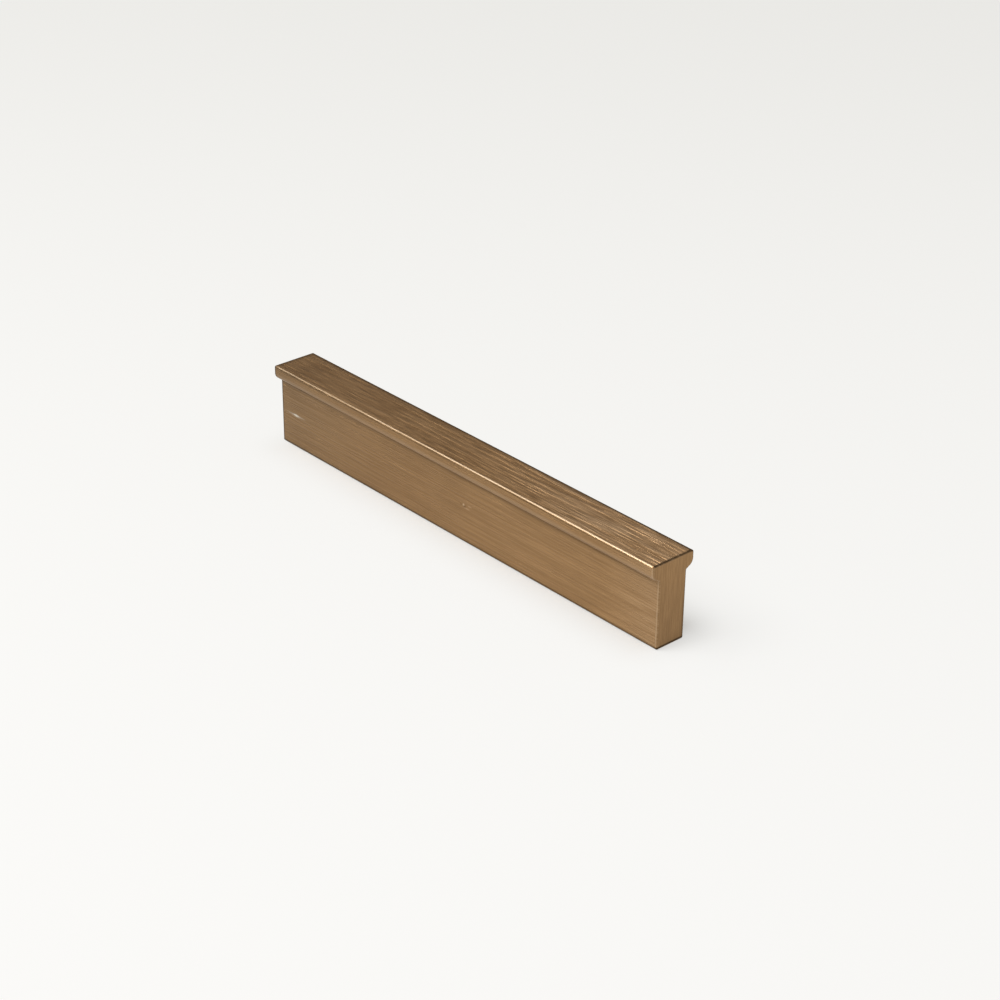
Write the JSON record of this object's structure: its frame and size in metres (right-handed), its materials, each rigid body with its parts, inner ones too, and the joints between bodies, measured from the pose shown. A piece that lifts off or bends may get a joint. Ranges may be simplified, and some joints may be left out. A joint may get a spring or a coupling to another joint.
{
  "type": "bar pull",
  "caption": "Solid brushed bronze bar pull of T section, with a bevelled lip along both sides for the fingers and tapped holes in its foot for fixing screws.",
  "frame": {"origin": "middle of the foot, the flat face that meets the drawer front", "axes": "+X along the bar, +Z away from the drawer front, Y across the bar"},
  "size_m": [0.16, 0.0148, 0.0256],
  "materials": {
    "brushed_bronze": "brown bronze, brushed along the bar and up the sawn ends, edges rubbed a little lighter"
  },
  "bodies": {
    "root": {"pull_bar": "brushed_bronze"}
  },
  "joints": []
}
